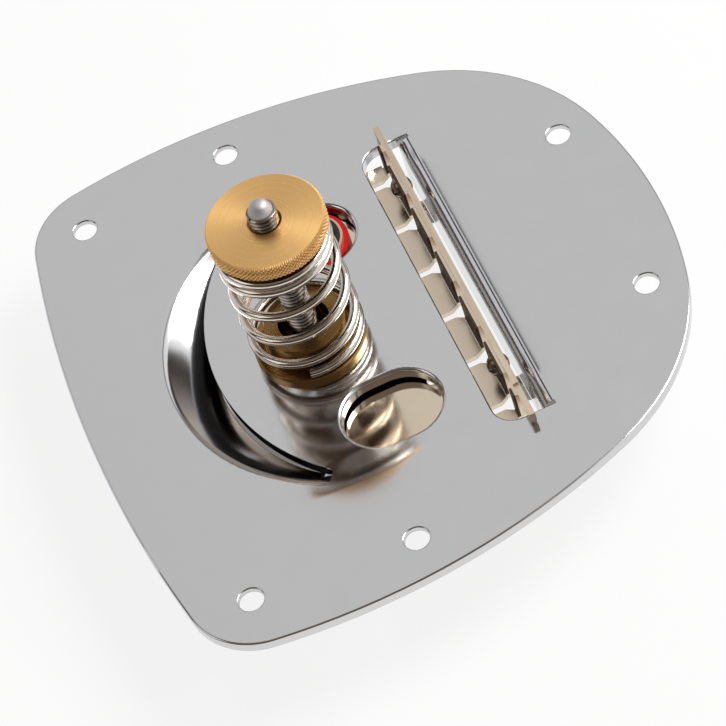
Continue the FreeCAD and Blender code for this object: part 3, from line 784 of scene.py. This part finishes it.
# %% [markdown]
# The solid of the base plate has its true shape, but the solid comes as loose triangles, and the long thin
# ones on its rounded rim break up the reflections. So the plate is a copy: its triangles are joined, shaded
# smooth, and a Weighted Normal modifier lets the large flat faces decide the shading along their borders.

# %% Base plate
flat_angle = math.radians(0.05)

shape = bmesh.new()
shape.from_mesh(nodes["base_plate"].data)
bmesh.ops.remove_doubles(shape, verts=shape.verts, dist=weld)
bmesh.ops.dissolve_limit(shape, angle_limit=flat_angle, verts=shape.verts, edges=shape.edges)
plate = make_piece("polished_plate", shape, chrome, "plate_chrome", "base_plate")
even = plate.modifiers.new("even_shading", "WEIGHTED_NORMAL")
even.keep_sharp = True
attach(plate, "base")

# %% [markdown]
# The nut is turned from brass and left as the lathe tool left it, with rings too fine to count. Light on
# such rings spreads across them and makes bright fans that point at the axis, so the shader is anisotropic,
# with a UV map for its direction: u is the angle about the post and v the distance from it, 1 at the rim.
# The rim is duller, the knurl is darker towards the foot of its grooves, and the underside is painted
# dark, a painted shade for the face that looks down into the spring.
# The rings are drawn a few times coarser than real ones, so that they show.

# %% Turned brass of the nut
marks_width = 0.3 * mm
marks_depth = 0.001 * mm
# v goes from 0 to 1 over about this length
marks_reach = 10 * mm
brass_smooth, brass_rough = 0.27, 0.33
rim_from, rim_full = 0.955, 0.97
rim_satin = 0.16
groove_foot, groove_top = 0.975, 0.995
groove_dark_share = 0.7
knurl_end = 0.34 * mm
underside_shade_height = 0.04 * mm
nut_low, nut_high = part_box("tension_nut")

# gives the eye pale gold with fans of light that stand still while the nut turns
turned_brass, tree = new_material("turned_brass")
turning = add(tree, "ShaderNodeUVMap", uv_map="turning")
radius = add(tree, "ShaderNodeSeparateXYZ", {0: turning.outputs[0]}).outputs["Y"]
place = add(tree, "ShaderNodeTexCoord")
rise = add(tree, "ShaderNodeSeparateXYZ", {0: place.outputs["Object"]}).outputs["Z"]
marks = add(
    tree, "ShaderNodeTexNoise", {"W": radius, "Scale": marks_reach / marks_width, "Detail": 2.0},
    noise_dimensions="1D",
)
# painted shade: the underside of the nut is painted dark
underside_shade = add(tree, "ShaderNodeMath", {0: rise, 1: nut_low.z + underside_shade_height}, operation="LESS_THAN")
# the knurl is darker towards the foot of its grooves
groove_darkening = add(tree, "ShaderNodeMapRange", {0: radius, 1: groove_foot, 2: groove_top, 3: groove_dark_share, 4: 0.0})
below = add(tree, "ShaderNodeMath", {0: rise, 1: nut_high.z - knurl_end}, operation="LESS_THAN")
groove_darkening = add(tree, "ShaderNodeMath", {0: groove_darkening.outputs[0], 1: below.outputs[0]}, operation="MULTIPLY")
tint = add(
    tree, "ShaderNodeMix", {0: marks.outputs[0], 6: linear("#FEC880"), 7: linear("#FFD18C")}, data_type="RGBA"
)
for mask, colour in ((underside_shade, "#3E3226"), (groove_darkening, "#5E4424")):
    tint = add(
        tree, "ShaderNodeMix", {0: mask.outputs[0], 6: tint.outputs[2], 7: linear(colour)}, data_type="RGBA"
    )
gloss = add(
    tree, "ShaderNodeMapRange",
    {0: marks.outputs[0], 1: noise_low, 2: noise_high, 3: brass_smooth, 4: brass_rough},
)
rim = add(tree, "ShaderNodeMapRange", {0: radius, 1: rim_from, 2: rim_full, 3: 0.0, 4: rim_satin})
gloss = add(tree, "ShaderNodeMath", {0: gloss.outputs[0], 1: rim.outputs[0]}, operation="ADD")
relief = add(tree, "ShaderNodeBump", {"Height": marks.outputs[0], "Distance": marks_depth})
grooves = add(tree, "ShaderNodeTangent", direction_type="UV_MAP", uv_map="turning")
shader = add(
    tree, "ShaderNodeBsdfPrincipled",
    {
        "Base Color": tint.outputs[2], "Metallic": 1.0, "Roughness": gloss.outputs[0],
        "Normal": relief.outputs[0], "Anisotropic": 0.7, "Anisotropic Rotation": 0.25,
        "Tangent": grooves.outputs[0],
    },
)
finish_material(tree, shader)
print("lathe marks in mm:", round(marks_width / mm, 2))

# %% [markdown]
# The tension nut is a brass disc whose rim is knurled, so that fingers can turn it. A lathe section gives
# the disc. The knurl could be a bump in the finish, but it breaks the outline of the rim, so it is real:
# the rim has enough points for each of its small pyramids, and two crossing sets of grooves push them in.

# %% Tension nut
nut_radius = 9.52
nut_bore = 2.45
nut_edge = 0.35
bore_edge = 0.3
rim_rows = 14
rim_pick = 0.01
knurl_teeth = 84
knurl_depth = 0.26
knurl_steepness = 2.2
points_per_tooth = 8


def knurl_height(turn, height):
    # 0 in a groove and 1 at the tip of a pyramid
    ridges = []
    for lean in (-1, 1):
        phase = (knurl_teeth * turn + lean * height * knurl_teeth / (2 * math.pi * nut_radius)) % 1
        ridges.append(1 - abs(2 * phase - 1))
    return min(1.0, knurl_steepness * min(ridges))


seat = nut_low.z / mm
crown = nut_high.z / mm
rim_height = crown - seat - 2 * nut_edge
section = [
    (nut_bore, seat),
    (nut_radius - nut_edge, seat),
    *[(nut_radius, seat + nut_edge + rim_height * row / rim_rows) for row in range(rim_rows + 1)],
    (nut_radius - nut_edge, crown),
    (nut_bore + bore_edge, crown),
    (nut_bore, crown - bore_edge),
]
shape = bmesh.new()
spun(shape, section, knurl_teeth * points_per_tooth, post)
for vert in shape.verts:
    out = (vert.co - post) * Vector((1, 1, 0))
    if out.length > (nut_radius - rim_pick) * mm:
        turn = math.atan2(out.y, out.x) / (2 * math.pi)
        sink = knurl_depth * (1 - knurl_height(turn, vert.co.z / mm)) * mm
        vert.co -= out.normalized() * sink
layer = shape.loops.layers.uv.new("turning")
for face in shape.faces:
    middle = face.calc_center_median() - post
    facing = math.atan2(middle.y, middle.x)
    for loop in face.loops:
        out = loop.vert.co - post
        swing = math.atan2(out.y, out.x) - facing
        swing = (swing + math.pi) % (2 * math.pi) - math.pi
        loop[layer].uv = ((facing + swing) / (2 * math.pi), out.xy.length / (nut_radius * mm))
nut = make_piece("knurled_nut", shape, turned_brass, "turned_brass", "tension_nut")
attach(nut, "nut")

# %% [markdown]
# The screw is zinc plated steel. Zinc is a soft silver grey with faint clouds. The roots of the thread are
# painted dark, a painted shade, which the distance from the post axis picks out, and the point above the nut
# is rubbed dull and pale.

# %% Zinc plated steel of the screw
zinc_cloud = 1.6 * mm
zinc_smooth, zinc_rough = 0.14, 0.2
shaded_root, unshaded_crest = 2.0 * mm, 2.3 * mm
head_below = -2.0 * mm
worn_above = 32.5 * mm
worn_fade = 0.3 * mm
worn_satin = 0.4

# gives the eye a soft silver grey with faint clouds, painted shade in the thread and a dull pale point
zinc_plated, tree = new_material("zinc_plated_steel")
place = add(tree, "ShaderNodeTexCoord").outputs["Object"]
rise = add(tree, "ShaderNodeSeparateXYZ", {0: place}).outputs["Z"]
cloud = add(tree, "ShaderNodeTexNoise", {"Vector": place, "Scale": 1 / zinc_cloud, "Detail": 4.0})
centred = add(tree, "ShaderNodeMapping", {"Vector": place, "Location": -post, "Scale": (1, 1, 0)})
reach = add(tree, "ShaderNodeVectorMath", {0: centred.outputs[0]}, operation="LENGTH")
# painted shade: towards the roots of the thread the steel is painted dark
crest = add(
    tree, "ShaderNodeMapRange", {0: reach.outputs["Value"], 1: shaded_root, 2: unshaded_crest, 3: 0.0, 4: 1.0}
)
headward = add(tree, "ShaderNodeMath", {0: rise, 1: head_below}, operation="LESS_THAN")
outside_root_shade = add(tree, "ShaderNodeMath", {0: crest.outputs[0], 1: headward.outputs[0]}, operation="MAXIMUM")
worn = add(tree, "ShaderNodeMapRange", {0: rise, 1: worn_above, 2: worn_above + worn_fade, 3: 0.0, 4: 1.0})
tint = add(
    tree, "ShaderNodeMix", {0: cloud.outputs[0], 6: linear("#9A9088"), 7: linear("#B4ABA2")}, data_type="RGBA"
)
tint = add(
    tree, "ShaderNodeMix", {0: outside_root_shade.outputs[0], 6: linear("#2C2622"), 7: tint.outputs[2]}, data_type="RGBA"
)
tint = add(
    tree, "ShaderNodeMix", {0: worn.outputs[0], 6: tint.outputs[2], 7: linear("#C2BFBF")}, data_type="RGBA"
)
gloss = add(
    tree, "ShaderNodeMapRange",
    {0: cloud.outputs[0], 1: noise_low, 2: noise_high, 3: zinc_smooth, 4: zinc_rough},
)
gloss = add(
    tree, "ShaderNodeMath", {0: worn.outputs[0], 1: worn_satin, 2: gloss.outputs[0]}, operation="MULTIPLY_ADD"
)
shader = add(
    tree, "ShaderNodeBsdfPrincipled",
    {"Base Color": tint.outputs[2], "Metallic": 1.0, "Roughness": gloss.outputs[0]},
)
finish_material(tree, shader)
print("zinc clouds in mm:", round(zinc_cloud / mm, 2))

# %% [markdown]
# The tension screw carries the nut. Its thread shows between the coils and above the nut, so it is wound
# as a real screw line: a saw-tooth section is spun once round while it climbs by one pitch, and each tooth
# then meets the one above it. Two cuts give the thread its ends, and the point is turned on its end.

# %% Thread and point of the screw
thread_pitch = 0.8
thread_crest = 2.39
thread_root = 1.9
thread_low = -2.2
thread_high = 32.6
thread_steps = 40
thread_weld = 0.001 * mm
# heights within one pitch, each with the radius there
tooth = ((0.0, thread_root), (0.12, thread_root), (0.36, thread_crest), (0.48, thread_crest))
point_section = [
    (0, 31.7), (2.1, 31.7), (2.1, 32.4), (1.7, 33.3), (1.4, 33.9), (1.1, 34.2), (0.7, 34.36), (0, 34.4),
]

shape = bmesh.new()
# the whole turns, one for the part turn, and one to spare at each end for the cuts
turns = int((thread_high - thread_low) / thread_pitch) + 3
points = [
    (radius, thread_low + thread_pitch * (turn - 1) + rise) for turn in range(turns) for rise, radius in tooth
]
verts = [shape.verts.new((post.x + radius * mm, 0, height * mm)) for radius, height in points]
edges = [shape.edges.new(pair) for pair in zip(verts, verts[1:])]
bmesh.ops.spin(
    shape, geom=verts + edges, cent=post, axis=(0, 0, 1), dvec=(0, 0, thread_pitch * mm / thread_steps),
    angle=2 * math.pi, steps=thread_steps, use_merge=False, use_duplicate=False,
)
bmesh.ops.remove_doubles(shape, verts=shape.verts, dist=thread_weld)
for height, clear in ((thread_low, "clear_inner"), (thread_high, "clear_outer")):
    everything = shape.verts[:] + shape.edges[:] + shape.faces[:]
    cut = Vector((0, 0, height * mm))
    bmesh.ops.bisect_plane(shape, geom=everything, plane_co=cut, plane_no=(0, 0, 1), **{clear: True})
bmesh.ops.holes_fill(shape, edges=[edge for edge in shape.edges if edge.is_boundary], sides=0)
spun(shape, point_section, thread_steps, post)
print("turns of thread:", round((thread_high - thread_low) / thread_pitch, 1))

# %% [markdown]
# The head of the screw, on the far side, is right in the solid and is kept from there: a copy of the solid
# is cut off below the thread, its cut is closed, and it joins the thread in one piece.

# %% Head of the screw
head = bmesh.new()
head.from_mesh(nodes["tension_screw"].data)
bmesh.ops.remove_doubles(head, verts=head.verts, dist=weld)
everything = head.verts[:] + head.edges[:] + head.faces[:]
cut = Vector((0, 0, head_below))
bmesh.ops.bisect_plane(head, geom=everything, plane_co=cut, plane_no=(0, 0, 1), clear_outer=True)
bmesh.ops.holes_fill(head, edges=[edge for edge in head.edges if edge.is_boundary], sides=0)
head_mesh = bpy.data.meshes.new("screw_head")
head.to_mesh(head_mesh)
head.free()
shape.from_mesh(head_mesh)
bpy.data.meshes.remove(head_mesh)
screw = make_piece("threaded_screw", shape, zinc_plated, "screw_steel", "tension_screw")
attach(screw, "screw")

# %% [markdown]
# The spring is bright nickel plated wire. It was drawn through a die and is smooth, so it is nearly a
# mirror, and its bands of light and dark are the room. A fine noise makes the gloss a little uneven, drawn
# coarser than the marks of a real die, so that it shows.

# %% Bright nickel of the spring wire
draw_size = 0.5 * mm
wire_smooth, wire_rough = 0.06, 0.12

# gives the eye a clear mirror on a round wire, a little uneven from the drawing die
spring_nickel, tree = new_material("bright_nickel_wire")
place = add(tree, "ShaderNodeTexCoord").outputs["Object"]
draw = add(tree, "ShaderNodeTexNoise", {"Vector": place, "Scale": 1 / draw_size, "Detail": 3.0})
tint = add(
    tree, "ShaderNodeMix", {0: draw.outputs[0], 6: linear("#CDC3B9"), 7: linear("#DBD2C8")}, data_type="RGBA"
)
gloss = add(
    tree, "ShaderNodeMapRange",
    {0: draw.outputs[0], 1: noise_low, 2: noise_high, 3: wire_smooth, 4: wire_rough},
)
shader = add(
    tree, "ShaderNodeBsdfPrincipled",
    {"Base Color": tint.outputs[2], "Metallic": 1.0, "Roughness": gloss.outputs[0]},
)
finish_material(tree, shader)
print("wire marks in mm:", round(draw_size / mm, 2))

# %% [markdown]
# The tension spring is round wire wound in a coil. The open turns in the middle climb by several wire
# thicknesses and the end turns lie close, so the climb of each small step is worked out first. It is
# averaged over the steps near it, which eases the wire from a close turn into an open one, and then
# stretched to the height of the solid.

# %% Climb of the coil
spring_low, spring_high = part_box("tension_spring")
wire_radius = 0.8 * mm
coil_radius = (spring_high.y - spring_low.y) / 2 - wire_radius
turn_rises = (2.85, 6.3, 6.3, 6.3, 1.8)
coil_turns = 5.42
steps_per_turn = 60
ease_steps = 12


def step_rise(step):
    near = range(step - ease_steps, step + ease_steps + 1)
    rises = [turn_rises[min(max(s // steps_per_turn, 0), len(turn_rises) - 1)] for s in near]
    return sum(rises) / len(rises) / steps_per_turn * mm


climb = [step_rise(step) for step in range(round(steps_per_turn * coil_turns))]
stretch = (spring_high.z - spring_low.z - 2 * wire_radius) / sum(climb)
climb = [rise * stretch for rise in climb]
print("coil radius in mm:", round(coil_radius / mm, 3), "climb in mm:", round(sum(climb) / mm, 2))

# %% [markdown]
# A ring of points is spun a few degrees at a time while it climbs, which draws the wire. When the lever
# moves, the foot stays on the plate and the head follows the screw, and when the nut turns, the head
# follows the nut. The coil is made as two runs that meet halfway up.

# %% Tension spring
start_turn = -0.297
wire_sides = 20


def coil_run(first, last):
    run = bmesh.new()
    ring = bmesh.ops.create_circle(run, cap_ends=True, segments=wire_sides, radius=wire_radius)["verts"]
    bmesh.ops.rotate(run, verts=ring, matrix=Matrix.Rotation(math.pi / 2, 3, "X"))
    height = spring_low.z + wire_radius + sum(climb[:first])
    bmesh.ops.translate(run, verts=ring, vec=post + Vector((coil_radius, 0, height)))
    angle = 2 * math.pi * (start_turn + first / steps_per_turn)
    bmesh.ops.rotate(run, verts=ring, cent=post, matrix=Matrix.Rotation(angle, 3, "Z"))
    tip = ring + run.edges[:] + run.faces[:]
    for rise in climb[first:last]:
        spin = bmesh.ops.spin(
            run, geom=tip, cent=post, axis=(0, 0, 1), dvec=(0, 0, rise),
            angle=2 * math.pi / steps_per_turn, steps=1, use_merge=False, use_duplicate=False,
        )
        tip = spin["geom_last"]
    return run


half_way = len(climb) // 2
shape = coil_run(0, half_way)
lower_coils = make_piece("spring_lower_coils", shape, spring_nickel, "spring_nickel", "tension_spring")
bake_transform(lower_coils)
shape = coil_run(half_way, len(climb))
upper_coils = make_piece("spring_upper_coils", shape, spring_nickel, "spring_nickel", "tension_spring")
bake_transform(upper_coils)
